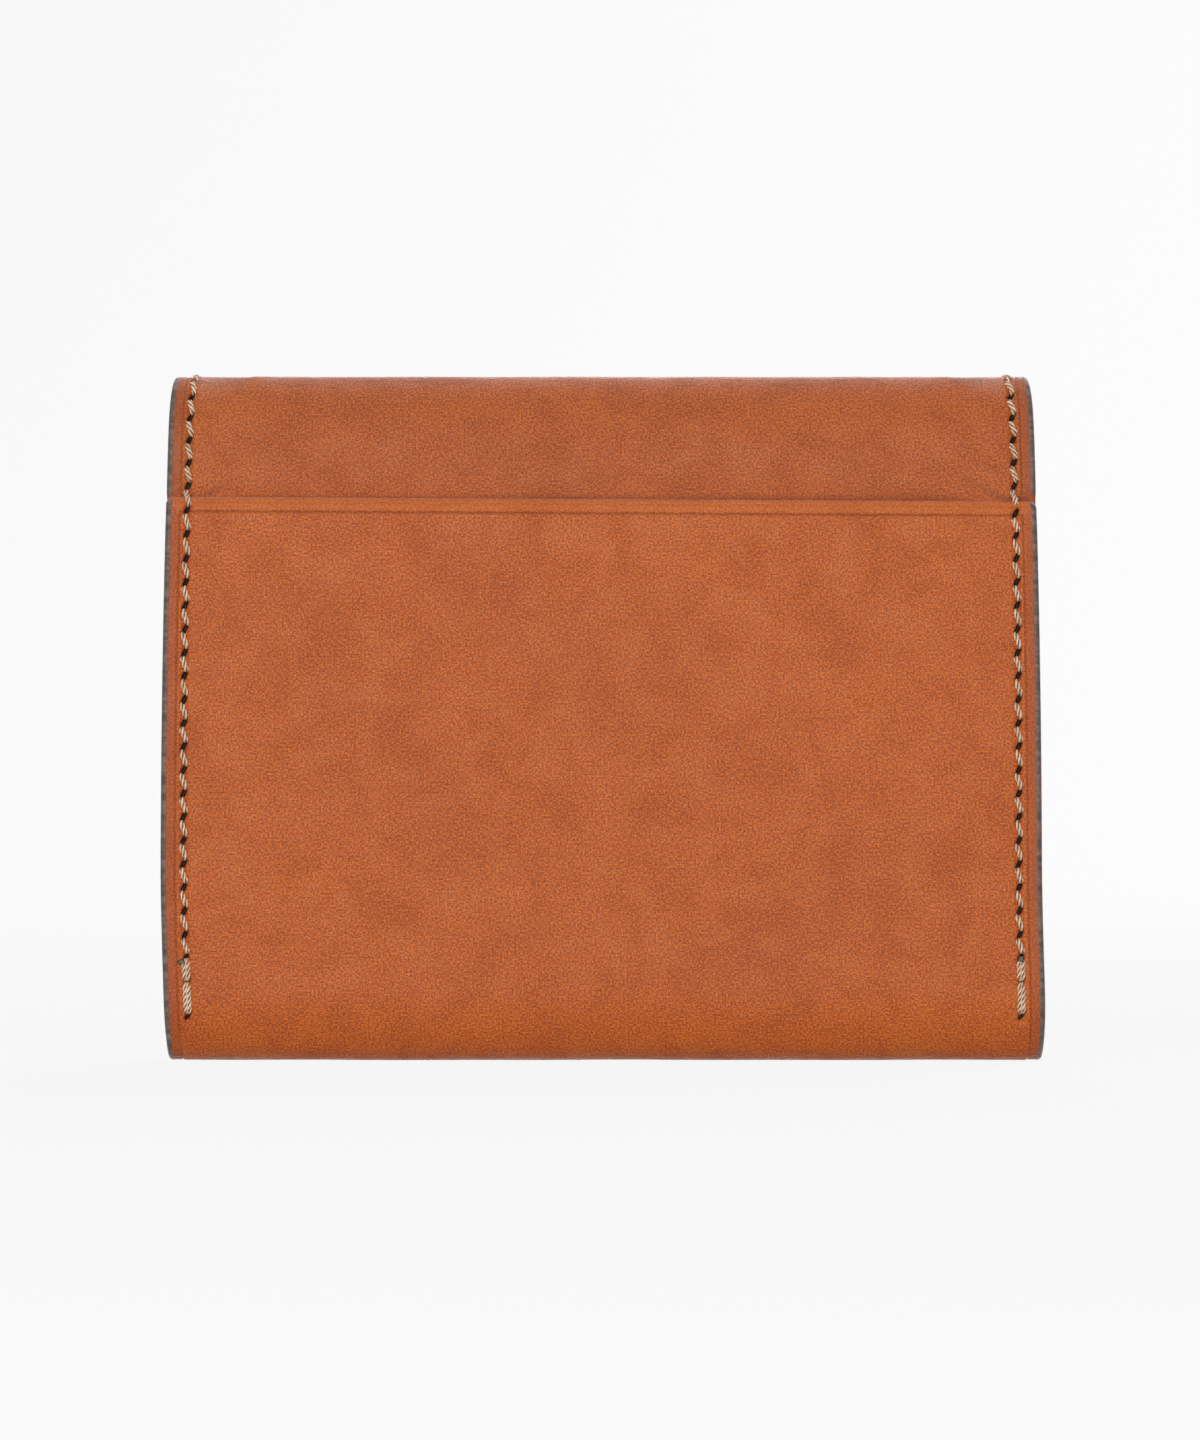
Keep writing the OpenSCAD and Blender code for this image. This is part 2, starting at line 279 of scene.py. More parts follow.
def holes_at(x, s, seams):
    """How deep in an awl hole each point is, from 0 outside to 1 in its middle."""
    depth = np.zeros_like(x)
    for seam in seams:
        for c, u in zip(seam.c, seam.u):
            near = (np.abs(x - c[0]) < MM) & (np.abs(s - c[1]) < MM)
            if not near.any():
                continue
            dx, ds = x[near] - c[0], s[near] - c[1]
            along = (dx * u[0] + ds * u[1]) / HOLE_LONG
            across = (dx * u[1] - ds * u[0]) / HOLE_WIDE
            reach = np.sqrt(along ** 2 + across ** 2)
            depth[near] = np.maximum(depth[near], smooth((1.25 - reach) / 0.6))
    return depth


# ---------------- mesh of a leather sheet
def ring(sheet, d, radii, rows, columns):
    """Closed row of points (x, s) at distance d inside the edge of a sheet with rounded corners."""
    m0, m1 = (max(r, d) for r in radii)
    q0, q1 = (max(r - d, 0) for r in radii)
    phi = np.linspace(0, math.pi / 2, 9)[1:-1]
    half = sheet.half
    side_s = m0 + (sheet.length - m0 - m1) * rows
    side_x = half(side_s) - d
    end_s = sheet.length - m1 + q1 * np.sin(phi)
    end_x = half(end_s) - (m1 - q1 * np.cos(phi))
    start_s = m0 - q0 * np.sin(phi)
    start_x = half(start_s) - (m0 - q0 * np.cos(phi))
    across = np.ones_like(columns)
    parts = [
        (side_x, side_s),
        (end_x, end_s),
        ((half(sheet.length - d) - m1) * columns, (sheet.length - d) * across),
        (-end_x[::-1], end_s[::-1]),
        (-side_x[::-1], side_s[::-1]),
        (-start_x, start_s),
        (-(half(d) - m0) * columns, d * across),
        (start_x[::-1], start_s[::-1]),
    ]
    return np.concatenate([p[0] for p in parts]), np.concatenate([p[1] for p in parts])


def undulation(x, s, seed):
    """Slight unevenness of a hand-made leather surface."""
    k = 2 * math.pi
    return (0.05 * np.sin(k * x / (47 * MM) + seed) * np.sin(k * s / (61 * MM) + 2 * seed)
            + 0.03 * np.sin(k * x / (19 * MM) + 3 * seed) * np.sin(k * s / (23 * MM) + seed)) * MM


def columns_close_to_seam(count, half):
    """Even columns, with more of them where a seam reaches the end of the sheet."""
    beside = 1 - np.arange(0.3, 2.5, 0.1) * MM / half
    inner = np.linspace(beside[-1], -beside[-1], count + 1)
    return np.concatenate([[1], beside[:-1], inner, -beside[-2::-1], [-1]])


class Layout:
    """How a sheet is cut, meshed and worked."""

    def __init__(self, thick, radii, rows, columns, seams=(), creases=(True, True, True), seed=1.0,
                 plain_start=False, painted_shadow_at=None):
        """radii: of the corners at the start and the end; rows: number of mesh rows; columns: shares of
        the half width at which mesh columns run; creases: along the sides, the start and the end;
        plain_start: the start is a lip with an unburnished edge and a painted highlight; stained: s of a
        line along which a painted shadow darkens the face and the edge is not burnished."""
        self.thick, self.radii, self.rows, self.columns = thick, radii, rows, columns
        self.seams, self.creases, self.seed = seams, creases, seed
        self.plain_start, self.painted_shadow_at = plain_start, painted_shadow_at


# distances from the edge at which the shown face has a ring of points, closest at the crease and the seam
FACE_INSETS = np.array([0.73, 0.82, 0.97, 1.2, 1.45, 1.58, 1.68, 1.76, 1.84, 1.92, 2.02, 2.16,
                        *np.linspace(2.28, 3.28, 11), 3.45, 3.8]) * MM
HIDDEN_LAYER = 0.02      # how far the hidden face's pattern is from the shown face's


def edge_profile(t):
    """Points (d, h) round a sheet's edge, from its hidden to its shown face: a worn, nearly square bead."""
    power = 0.8
    return [(EDGE_R * (1 - np.cos(a) ** power),
             -t / 2 + t / 2 * np.sign(np.sin(a)) * abs(np.sin(a)) ** power)
            for a in np.radians(np.linspace(-90, 90, 9))]


def sheet_grid(sheet, layout):
    """Points and faces of a closed sheet. A point is x, s, h, distance d from the edge, edge and inner:
    whether it is on the edge, and whether it is on the hidden face."""
    t, band = layout.thick, max(BAND, *layout.radii)
    rows, columns = np.linspace(0, 1, layout.rows + 1), layout.columns
    wide = len(columns)
    hidden = [(band, -t), (2.4 * MM, -t), (1.0 * MM, -t)]
    edge = edge_profile(t)
    profile = hidden + edge + [(d, 0.0) for d in FACE_INSETS] + [(band, 0.0)]
    points, faces = [], []

    def add(x, s, h, d, on_edge, inner):
        points.append([x, s] + [np.full_like(x, v) for v in (h, d, on_edge, inner)])

    for k, (d, h) in enumerate(profile):
        x, s = ring(sheet, d, layout.radii, rows, columns)
        add(x, s, h, d, len(hidden) <= k < len(hidden) + len(edge), h < -0.75 * t)
    n = len(x)
    for k in range(len(profile) - 1):
        a = k * n + np.arange(n)
        b = k * n + (np.arange(n) + 1) % n
        faces.append(np.stack([a, b, b + n, a + n], 1))
    count = len(profile) * n

    grid_s = band + (sheet.length - 2 * band) * rows
    s = np.repeat(grid_s, wide)
    x = (sheet.half(s) - band) * np.tile(columns, len(grid_s))
    for h in (-t, 0.0):
        add(x, s, h, band, 0, h < 0)
        base = count + np.arange(layout.rows)[:, None] * wide + np.arange(wide - 1)[None, :]
        quad = np.stack([base, base + 1, base + 1 + wide, base + wide], -1).reshape(-1, 4)
        faces.append(quad if h < 0 else quad[:, ::-1])
        count += len(x)
    return [np.concatenate(v) for v in zip(*points)], np.concatenate(faces)


def seam_channel(sheet, seams, x, s, d):
    """How deep each point is in the channel pressed along the seams, 0 to 1."""
    channel = np.zeros_like(x)
    for seam in seams:
        low, high = seam.c[:, 1].min() - 1.5 * MM, seam.c[:, 1].max() + MM
        inset, reach = SEAM_IN, d
        if seam.drift is not None:
            inset = SEAM_IN + seam.drift * np.clip((s - low) / (high - low), 0, 1)
            reach = sheet.half(s) - np.abs(x)
        channel = np.maximum(channel, np.exp(-(((reach - inset) / CHANNEL_WIDE) ** 2))
                             * ((s > low) & (s < high)))
    return channel


def sheet_mesh(name, sheet, layout, clip=None):
    """Closed piece of a sheet: shown face with its relief, rounded edge and plain hidden face."""
    t = layout.thick
    (x, s, h, d, edge, inner), faces = sheet_grid(sheet, layout)
    shown = (h > -1e-9) & (edge < 0.5)
    on_side, on_start, on_end = layout.creases
    crease_on = np.where(np.abs(x) > sheet.half(s) - BAND, on_side,
                         np.where(s < sheet.length * 0.5, on_start, on_end))
    line = np.exp(-(((d - CREASE_IN) / CREASE_WIDE) ** 2)) * crease_on
    margin = smooth((CREASE_IN - d) / (0.5 * MM)) * crease_on
    # the slip pocket's lip: its edge is left unburnished and its face gets a painted highlight through a
    # margin below 0
    if layout.plain_start:
        lip = (d > np.minimum(s, BAND) - 1e-6) & (s < BAND) & (np.abs(x) < sheet.half(s) - 0.8 * MM)
        edge = np.where(lip, 0.1 * edge, edge)
        margin = np.where(lip, -margin, margin)
    hole = holes_at(x, s, layout.seams) * shown
    pressed = (CREASE_DEEP * line + CHANNEL_DEEP * seam_channel(sheet, layout.seams, x, s, d)
               + HOLE_DEEP * hole + MARGIN_DEEP * np.abs(margin))
    h = h - np.where(shown, pressed, 0.0) + undulation(x, s, layout.seed) * (d > 0.2 * MM)
    # painted shadow: a dark line along the face at this s, kept with the crease values; the edge there is
    # left unburnished
    if layout.painted_shadow_at is not None:
        beside = s - layout.painted_shadow_at
        line = np.maximum(line, 0.8 * np.exp(-((beside / (0.5 * MM)) ** 2)))
        edge = edge * (1 - 0.75 * np.exp(-((beside / (0.9 * MM)) ** 2)) * (h > -t / 3))
    values = {"edge": edge, "inner": inner, "hole": hole, "crease": line * shown,
              "margin": margin * (h > -t / 2), "fold": sheet.fold(s) * shown}
    flat = (x, s, np.where(inner > 0.5, HIDDEN_LAYER, 0.0) + layout.seed)
    return leather_piece(name, sheet.place(x, s, h), faces, flat, values, clip)


def add_object(name, data):
    """New object in the scene."""
    thing = bpy.data.objects.new(name, data)
    bpy.context.scene.collection.objects.link(thing)
    return thing


def leather_piece(name, verts, faces, flat, values, clip=None):
    """Closed leather piece whose points know their place on the flat sheet and the values given."""
    mesh = bpy.data.meshes.new(name)
    mesh.from_pydata(verts.tolist(), [], faces.tolist())
    for key, value in values.items():
        mesh.attributes.new(key, "FLOAT", "POINT").data.foreach_set("value", value.astype(np.float32))
    mesh.attributes.new("flat", "FLOAT_VECTOR", "POINT").data.foreach_set(
        "vector", np.stack(flat, 1).astype(np.float32).ravel())
    close_up(mesh, clip)
    return add_object(name, mesh)


def close_up(mesh, clip=None):
    """Welds points that meet, cuts the mesh if asked, and makes its faces smooth and face outwards."""
    bm = bmesh.new()
    bm.from_mesh(mesh)
    bmesh.ops.remove_doubles(bm, verts=bm.verts, dist=2e-7)
    bmesh.ops.dissolve_degenerate(bm, edges=bm.edges, dist=1e-8)
    if clip is not None:
        clip_mesh(bm, *clip)
    bmesh.ops.recalc_face_normals(bm, faces=bm.faces)
    for f in bm.faces:
        f.smooth = True
    bm.to_mesh(mesh)
    bm.free()


def clip_mesh(bm, point, normal):
    """Cuts a closed mesh at a plane, drops what is on the normal's side and closes the cut."""
    cut = bmesh.ops.bisect_plane(
        bm, geom=bm.verts[:] + bm.edges[:] + bm.faces[:], plane_co=point, plane_no=normal,
        dist=1e-7, clear_outer=True)["geom_cut"]
    edges = [e for e in cut if isinstance(e, bmesh.types.BMEdge)]
    bmesh.ops.edgeloop_fill(bm, edges=edges)
    for e in edges:
        if e.is_valid:
            e.smooth = False


# ---------------- thread
STRAND_R = 0.165 * MM    # radius of one ply
PLY_OFFSET = 0.185 * MM  # distance of a ply from the middle of the thread
PLY_TURN = 2.1 * MM      # length in which a ply goes once round
THREAD_TOP = -0.02 * MM  # height of the thread's middle above the leather around the seam
THREAD_DEEP = 0.75 * MM  # how far its ends go into the holes
BEAD_R = 0.36 * MM       # radius of a melted thread end


def stitch_tubes(place, starts, ends, phase=0.0, lift=0.0):
    """Vertices, faces and ply shadow values of three-ply stitches between pairs of points (x, s) on a
    sheet. The ply shadow marks painted shade where the plies meet.
    """
    sides, rings = 6, 15
    t = np.linspace(0, 1, rings)
    around = np.linspace(0, 2 * math.pi, sides, endpoint=False)
    i, j = np.arange(rings - 1)[:, None] * sides, np.arange(sides)[None, :]
    tube = np.stack([i + j, i + (j + 1) % sides, i + sides + (j + 1) % sides, i + sides + j], -1)
    tube = tube.reshape(-1, 4).tolist()
    tube += [list(reversed(range(sides))), list(range((rings - 1) * sides, rings * sides))]
    top = THREAD_TOP + lift
    h = top - (top + THREAD_DEEP) * np.abs(2 * t - 1) ** 5
    verts, faces, ply_shadow = [], [], []
    for k, (a, b) in enumerate(zip(starts, ends)):
        length = float(np.hypot(*(b - a)))
        forward = (b - a) / length
        lateral = np.array([forward[1], -forward[0]])
        slope = np.gradient(h, t * length)
        size = np.hypot(1, slope)
        for ply in range(3):
            turn = 2 * math.pi * (t * length / PLY_TURN + ply / 3) + phase + 0.7 * k
            side = (PLY_OFFSET * np.cos(turn))[:, None] + STRAND_R * np.cos(around)[None, :]
            up = (PLY_OFFSET * np.sin(turn) * 0.85)[:, None] + STRAND_R * np.sin(around)[None, :]
            along = (t * length)[:, None] - up * (slope / size)[:, None]
            height = h[:, None] + up * (1 / size)[:, None]
            x = a[0] + forward[0] * along + lateral[0] * side
            s = a[1] + forward[1] * along + lateral[1] * side
            base = len(verts) * rings * sides
            verts.append(place(x.ravel(), s.ravel(), height.ravel()))
            faces += [[base + q for q in face] for face in tube]
            # painted shade: points near the thread's middle, between the plies, get a high ply shadow value
            reach = np.hypot(side, up) / (PLY_OFFSET + STRAND_R)
            ply_shadow.append((1 - smooth((reach - 0.6) / 0.34)).ravel())
    return verts, faces, ply_shadow


def seam_ends(seam):
    """Where each stitch of a seam leaves one hole and enters the next."""
    return seam.c[:-1] + 0.7 * MM * seam.u[:-1], seam.c[1:] - 0.7 * MM * seam.u[1:]


def mesh_piece(name, verts, faces, material):
    """Smooth piece from lists of points."""
    mesh = bpy.data.meshes.new(name)
    mesh.from_pydata([tuple(v) for v in np.concatenate(verts)], [], faces)
    mesh.materials.append(material)
    mesh.polygons.foreach_set("use_smooth", [True] * len(mesh.polygons))
    mesh.update()
    return add_object(name, mesh)


def thread_piece(name, parts):
    """One piece of thread from several runs of stitches."""
    verts, faces, ply_shadow, base = [], [], [], 0
    for v, f, h in parts:
        verts += v
        ply_shadow += h
        faces += [[base + i for i in face] for face in f]
        base += sum(len(w) for w in v)
    piece = mesh_piece(name, verts, faces, THREAD)
    values = np.concatenate(ply_shadow).astype(np.float32)
    piece.data.attributes.new("ply_shadow", "FLOAT", "POINT").data.foreach_set("value", values)
    return piece


def seam_thread(name, place, seam, doubled=()):
    """All stitches of a seam. The stitches named in doubled are sewn twice."""
    starts, ends = seam_ends(seam)
    single = [k for k in range(len(starts)) if k not in doubled]
    parts = [stitch_tubes(place, starts[single], ends[single])]
    for k in doubled:
        lateral = np.array([seam.t[k][1], -seam.t[k][0]]) * 0.2 * MM
        a = seam.c[k] + 0.25 * MM * seam.t[k]
        b = seam.c[k + 1] - 0.2 * MM * seam.t[k]
        for sign in (-1, 1):
            parts.append(stitch_tubes(place, np.array([a + sign * lateral]), np.array([b + sign * lateral]),
                                      phase=1.3 * sign, lift=0.05 * MM))
    return thread_piece(name, parts)


# ---------------- materials
class Nodes:
    """Small helper that adds shader nodes and joins them."""

    def __init__(self, name):
        self.material = bpy.data.materials.new(name)
        self.material.use_nodes = True
        self.tree = self.material.node_tree
        self.tree.nodes.clear()
        out = self.add("ShaderNodeOutputMaterial")
        self.shader = self.add("ShaderNodeBsdfPrincipled")
        self.join(self.shader.outputs[0], out.inputs[0])

    def add(self, kind, feeds=None, **values):
        """New node with its properties and its inputs set."""
        node = self.tree.nodes.new(kind)
        for key, value in values.items():
            setattr(node, key, value)
        for key, value in (feeds or {}).items():
            self.feed(node.inputs[key], value)
        return node

    def join(self, a, b):
        self.tree.links.new(a, b)

    def feed(self, socket, value):
        """Joins an output to a socket, or sets the socket to a number, a colour or a vector."""
        if isinstance(value, tuple):
            socket.default_value = (*value, 1.0) if socket.type == "RGBA" else value
        elif isinstance(value, (int, float)):
            socket.default_value = value
        else:
            self.join(value, socket)

    def attribute(self, name, vector=False):
        node = self.add("ShaderNodeAttribute", attribute_name=name)
        return node.outputs["Vector" if vector else "Fac"]

    def stretch(self, vector, scale):
        return self.add("ShaderNodeVectorMath", {0: vector, 1: scale}, operation="MULTIPLY").outputs[0]

    def noise(self, vector, scale, detail=2.0, rough=0.5, distort=0.0):
        """Noise with the scale in cycles per metre."""
        return self.add("ShaderNodeTexNoise", {"Vector": vector, "Scale": scale, "Detail": detail,
                                               "Roughness": rough, "Distortion": distort}).outputs["Fac"]

    def cells(self, vector, scale):
        return self.add("ShaderNodeTexVoronoi", {"Vector": vector, "Scale": scale}).outputs["Distance"]

    def span(self, value, low, high, to_low=0.0, to_high=1.0):
        """A smooth step from one span of values to another."""
        feeds = {"Value": value, "From Min": low, "From Max": high, "To Min": to_low, "To Max": to_high}
        return self.add("ShaderNodeMapRange", feeds, interpolation_type="SMOOTHSTEP").outputs[0]

    def math(self, kind, a, b):
        return self.add("ShaderNodeMath", {0: a, 1: b}, operation=kind).outputs[0]

    def mix(self, share, a, b):
        node = self.add("ShaderNodeMix", {0: share}, data_type="RGBA")
        for socket, value in zip([i for i in node.inputs if i.type == "RGBA"], (a, b)):
            self.feed(socket, value)
        return [o for o in node.outputs if o.type == "RGBA"][0]

    def tint(self, colour, mask, share, tone):
        """The colour, changed to the tone by a share of the mask."""
        return self.mix(self.math("MULTIPLY", mask, share), colour, tone)

    def bump(self, height, distance, strength, after=None):
        node = self.add("ShaderNodeBump", {"Strength": strength, "Distance": distance, "Height": height})
        if after is not None:
            self.join(after, node.inputs["Normal"])
        return node.outputs[0]

    def set(self, **values):
        for key, value in values.items():
            self.feed(self.shader.inputs[key.replace("_", " ")], value)


def shaded(tone, *factors):
    """A colour times one factor, or times one for each channel."""
    return tuple(c * k for c, k in zip(tone, factors * 3 if len(factors) == 1 else factors))


EDGE_DARK, EDGE_PALE = (0.075, 0.052, 0.042), (0.20, 0.140, 0.110)
HOLE_SHADOW = (0.012, 0.004, 0.002)


def leather(name, tan, deep, light, flesh, shine=0.54):
    """Vegetable-tanned leather: cloudy colour, fine grain, darker margins and dark burnished edges, with
    painted shade on the crinkles at the folds, painted shadow in the awl holes and along a given line, and
    a painted highlight on a lip.
    """
    n = Nodes(name)
    flat = n.attribute("flat", vector=True)
    edge, inner = n.attribute("edge"), n.attribute("inner")
    hole, crease = n.attribute("hole"), n.attribute("crease")
    margin, fold = n.attribute("margin"), n.span(n.attribute("fold"), 0.02, 0.4)

    clouds = n.noise(flat, 30, 3.0, 0.6, 0.5)
    blotch = n.noise(flat, 190, 4.0, 0.65, 0.6)
    streak = n.noise(n.stretch(flat, (0.35, 1.0, 1.0)), 900, 3.0, 0.6)
    crinkle = n.noise(n.stretch(flat, (0.22, 1.0, 1.0)), 1500, 3.0, 0.65, 0.3)
    pores = n.noise(flat, 3900, 3.0, 0.75)
    specks = n.noise(flat, 1250, 2.0, 0.5)
    grain = n.cells(n.stretch(flat, (0.8, 1.15, 1.0)), 3300)
    # crinkles at the folds: relief in the bump, and painted shade in the colour where the sheet turns away
    # from upright
    creased = n.math("MULTIPLY", n.span(crinkle, 0.5, 0.7), fold)

    colour = n.tint(tan, n.span(clouds, 0.46, 0.74), 0.6, deep)
    colour = n.tint(colour, n.span(clouds, 0.5, 0.28), 0.5, light)
    colour = n.tint(colour, n.span(blotch, 0.47, 0.68), 0.54, deep)
    colour = n.tint(colour, n.span(blotch, 0.49, 0.34), 0.42, light)
    colour = n.tint(colour, n.span(streak, 0.5, 0.75), 0.3, deep)
    colour = n.tint(colour, n.span(pores, 0.46, 0.62), 0.9, shaded(deep, 0.6))
    colour = n.tint(colour, n.span(pores, 0.5, 0.36), 0.9, shaded(light, 1.25))
    # painted shade on the crinkles at the folds
    colour = n.tint(colour, creased, 0.6, shaded(deep, 0.6))
    colour = n.tint(colour, n.span(specks, 0.66, 0.78), 0.4, shaded(deep, 0.5))
    colour = n.tint(colour, margin, 0.5, shaded(deep, 0.81, 0.94, 1.6))
    colour = n.tint(colour, margin, -0.32, light)     # painted highlight: a lip's margin is below 0, which tints it towards the light tone
    # creased lines darkened, together with the painted shadow line above the slip pocket
    colour = n.tint(colour, crease, 0.55, shaded(deep, 0.4))
    colour = n.tint(colour, inner, 0.85, flesh)
    ragged = n.math("ADD", edge, n.math("MULTIPLY", n.math("SUBTRACT", blotch, 0.5), 0.5))
    burnish = n.span(ragged, 0.35, 0.75)
    colour = n.mix(burnish, colour, n.mix(n.span(streak, 0.35, 0.7), EDGE_DARK, EDGE_PALE))
    # painted shadow inside the awl holes
    colour = n.mix(n.span(hole, 0.15, 0.7), colour, HOLE_SHADOW)

    rough = n.span(blotch, 0.3, 0.7, shine - 0.05, shine + 0.06)
    rough = n.math("ADD", rough, n.math("MULTIPLY", inner, 0.28))
    rough = n.math("SUBTRACT", rough, n.math("MULTIPLY", burnish, 0.1))
    normal = None
    for height, deep_mm, strength in ((grain, 0.05, 0.5), (pores, 0.03, 0.6), (streak, 0.05, 0.45),
                                      (creased, 0.07, 0.7), (blotch, 0.12, 0.35)):
        normal = n.bump(height, deep_mm * MM, strength, normal)
    n.set(Base_Color=colour, Roughness=rough, Normal=normal, Specular_IOR_Level=0.2,
          Sheen_Weight=0.55, Sheen_Roughness=0.27)
    return n.material


def thread_material():
    """Waxed beige thread with fine fibres and painted shade between its plies."""
    n = Nodes("waxed_thread")
    where = n.add("ShaderNodeTexCoord").outputs["Object"]
    fibre = n.noise(n.stretch(where, (1.0, 1.0, 0.35)), 9000, 3.0, 0.7)
    tone = n.noise(where, 700, 2.0, 0.5)
    colour = n.mix(n.span(fibre, 0.35, 0.7), (0.98, 0.74, 0.52), (0.68, 0.42, 0.25))
    colour = n.tint(colour, n.span(tone, 0.45, 0.75), 0.4, (0.42, 0.21, 0.10))
    # painted shade where the plies meet
    colour = n.tint(colour, n.attribute("ply_shadow"), 0.95, (0.10, 0.030, 0.012))
    n.set(Base_Color=colour, Roughness=0.55, Normal=n.bump(fibre, 0.03 * MM, 0.6), Sheen_Weight=0.25)
    return n.material


def burnt_thread_material():
    """Thread end melted to a dark bead."""
    n = Nodes("melted_thread")
    where = n.add("ShaderNodeTexCoord").outputs["Object"]
    lumps = n.noise(where, 3000, 3.0, 0.6)
    colour = n.mix(n.span(lumps, 0.4, 0.7), (0.020, 0.014, 0.010), (0.16, 0.11, 0.075))
    n.set(Base_Color=colour, Roughness=0.4, Normal=n.bump(lumps, 0.08 * MM, 0.8))
    return n.material


def brass_material():
    """Satin brass with fine scratches and random tarnish."""
    n = Nodes("aged_brass")
    where = n.add("ShaderNodeTexCoord").outputs["Object"]
    tarnish = n.noise(where, 420, 4.0, 0.6, 0.5)
    scratch = n.noise(n.stretch(where, (1.0, 1.0, 12.0)), 900, 3.0, 0.7)
    colour = n.mix(n.span(tarnish, 0.35, 0.75), (0.72, 0.51, 0.24), (0.58, 0.385, 0.17))
    rough = n.span(scratch, 0.3, 0.75, 0.20, 0.38)
    n.set(Base_Color=colour, Roughness=rough, Metallic=1.0, Normal=n.bump(scratch, 0.01 * MM, 0.4))
    return n.material


FLESH = (0.42, 0.20, 0.10)
TAN = leather("tan_leather", (0.47, 0.101, 0.018), (0.34, 0.064, 0.014), (0.54, 0.132, 0.019), FLESH)
# painted shade: the flap leather is a darker copy of the tan leather, standing in for the shade on the band
# above the slip pocket
FLAP_TAN_SHADED = leather("flap_tan_leather_shaded", (0.42, 0.092, 0.017), (0.305, 0.060, 0.013),
                   (0.485, 0.121, 0.018), FLESH)
LINING_LEATHER = leather("lining_leather", (0.50, 0.20, 0.075), (0.38, 0.13, 0.045), (0.56, 0.25, 0.10),
                         (0.45, 0.24, 0.12), shine=0.62)
INNER_LEATHER = leather("inner_leather", (0.40, 0.105, 0.030), (0.28, 0.064, 0.020), (0.46, 0.14, 0.042),
                        FLESH, shine=0.6)
THREAD = thread_material()
BURNT = burnt_thread_material()
BRASS = brass_material()


def finish_piece(piece, material, slot, *nodes):
    """Gives a piece its material and hides the CAD nodes that it stands for. The slot is not used."""
    piece.data.materials.append(material)
    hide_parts(*nodes)
    return piece


# ---------------- where leather bends across a joint
# the two bodies on either side of each fold, and where the bend starts and ends
FOLDS = {
    "spine": (("root", "spine"), (0, WALL_Y - 0.3 * MM, TOP_Z - 7.4 * MM),
              (0, SPINE_Y + 0.4 * MM, TOP_Z - 3.1 * MM)),
    "flap": (("spine", "flap"), (0, SPINE_Y - 0.2 * MM, TOP_Z - 2.8 * MM),
             (0, FLAP_FACE_Y + 0.2 * MM, TOP_Z - 6.9 * MM)),
    "mouth": (("root", "front"), (0, FRONT_FACE_Y - CORNER_Y, 0), (0, FRONT_LOW.y, 0)),
    "gusset": (("root", "front"), (0, GUSSET_LOW.y + 0.5 * MM, 0), (0, GUSSET_HIGH.y - 0.5 * MM, 0)),
}


def bend(piece, fold):
    """Bakes a piece's transform into its mesh. The fold is looked up, but the piece is not bent."""
    bodies, start, end = FOLDS[fold]
    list(bodies)
    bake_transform(piece)
    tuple(start)
    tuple(end)


# ---------------- the outer shell and its seams
def make_shell():
    """Outer shell with its four seams. The last two stitches of a back seam are sewn twice."""
    sheet = shell_sheet()
    holes = sheet.along(BACK_Y, BACK_SEAM_Z) + PITCH * np.append(np.arange(21), 21.45)
    back = [side_seam(sheet, side, holes, 1, SEAM_DRIFT) for side in (-1, 1)]
    holes = sheet.along(FRONT_FACE_Y, FRONT_SEAM_Z) + PITCH * np.arange(21)
    front = [side_seam(sheet, side, holes, 1) for side in (-1, 1)]
    layout = Layout(LEATHER, (SMALL_CORNER, SMALL_CORNER), round(sheet.length / RELIEF_ROWS),
                    columns_close_to_seam(22, float(sheet.half(0))), back + front, seed=1.3,
                    plain_start=True)
    shell = sheet_mesh("outer_shell", sheet, layout)
    finish_piece(shell, TAN, "tan_leather", "shell_back", "shell_base", "shell_front")
    bend(shell, "mouth")
    for side, name, seam in ((-1, "left", back[0]), (1, "right", back[1])):
        doubled = (len(seam.c) - 3, len(seam.c) - 2)
        piece = seam_thread(f"stitches_back_{name}", sheet.place, seam, doubled)
        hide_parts(f"thread_back_{name}")
        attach(piece, "root")
        last = seam.c[doubled[0]]
        beside, below = (-0.6 * MM, 0.45 * MM) if side < 0 else (0.0, 0.1 * MM)
        knot = bead(f"thread_end_{name}", sheet.place, last[0] + beside, last[1] + below)
        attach(knot, "root")
    for name, seam in (("left", front[0]), ("right", front[1])):
        piece = seam_thread(f"stitches_front_{name}", sheet.place, seam)
        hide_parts(f"thread_front_{name}")
        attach(piece, "front")


def bead(name, place, x, s):
    """Melted thread end: a small uneven bead on the leather."""
    bm = bmesh.new()
    bmesh.ops.create_icosphere(bm, subdivisions=3, radius=1.0)
    centre = place(np.array([x]), np.array([s]), np.array([0.15 * MM]))[0]
    for v in bm.verts:
        lump = 1 + 0.14 * math.sin(5 * v.co.x + 2) * math.sin(4 * v.co.z + 1) + 0.1 * math.sin(7 * v.co.y)
        v.co = v.co * lump * BEAD_R
        v.co.y *= 0.75
        v.co.x *= 1.15
        v.co += Vector(centre)
    mesh = bpy.data.meshes.new(name)
    bm.to_mesh(mesh)
    bm.free()
    mesh.materials.append(BURNT)
    mesh.polygons.foreach_set("use_smooth", [True] * len(mesh.polygons))
    return add_object(name, mesh)


# ---------------- the flap leather and its lining
def split_at_spine(name, sheet, layout, material, slot, rear_nodes, fore_nodes):
    """One sheet as two pieces that meet in the middle of the spine."""
    cut = (0, SPINE_Y, 0)
    rear = sheet_mesh(name + "_rear", sheet, layout, clip=(cut, (0, 1, 0)))
    fore = sheet_mesh(name + "_fore", sheet, layout, clip=(cut, (0, -1, 0)))
    finish_piece(rear, material, slot, *rear_nodes)
    finish_piece(fore, material, slot, *fore_nodes)
    bend(rear, "spine")
    bend(fore, "flap")


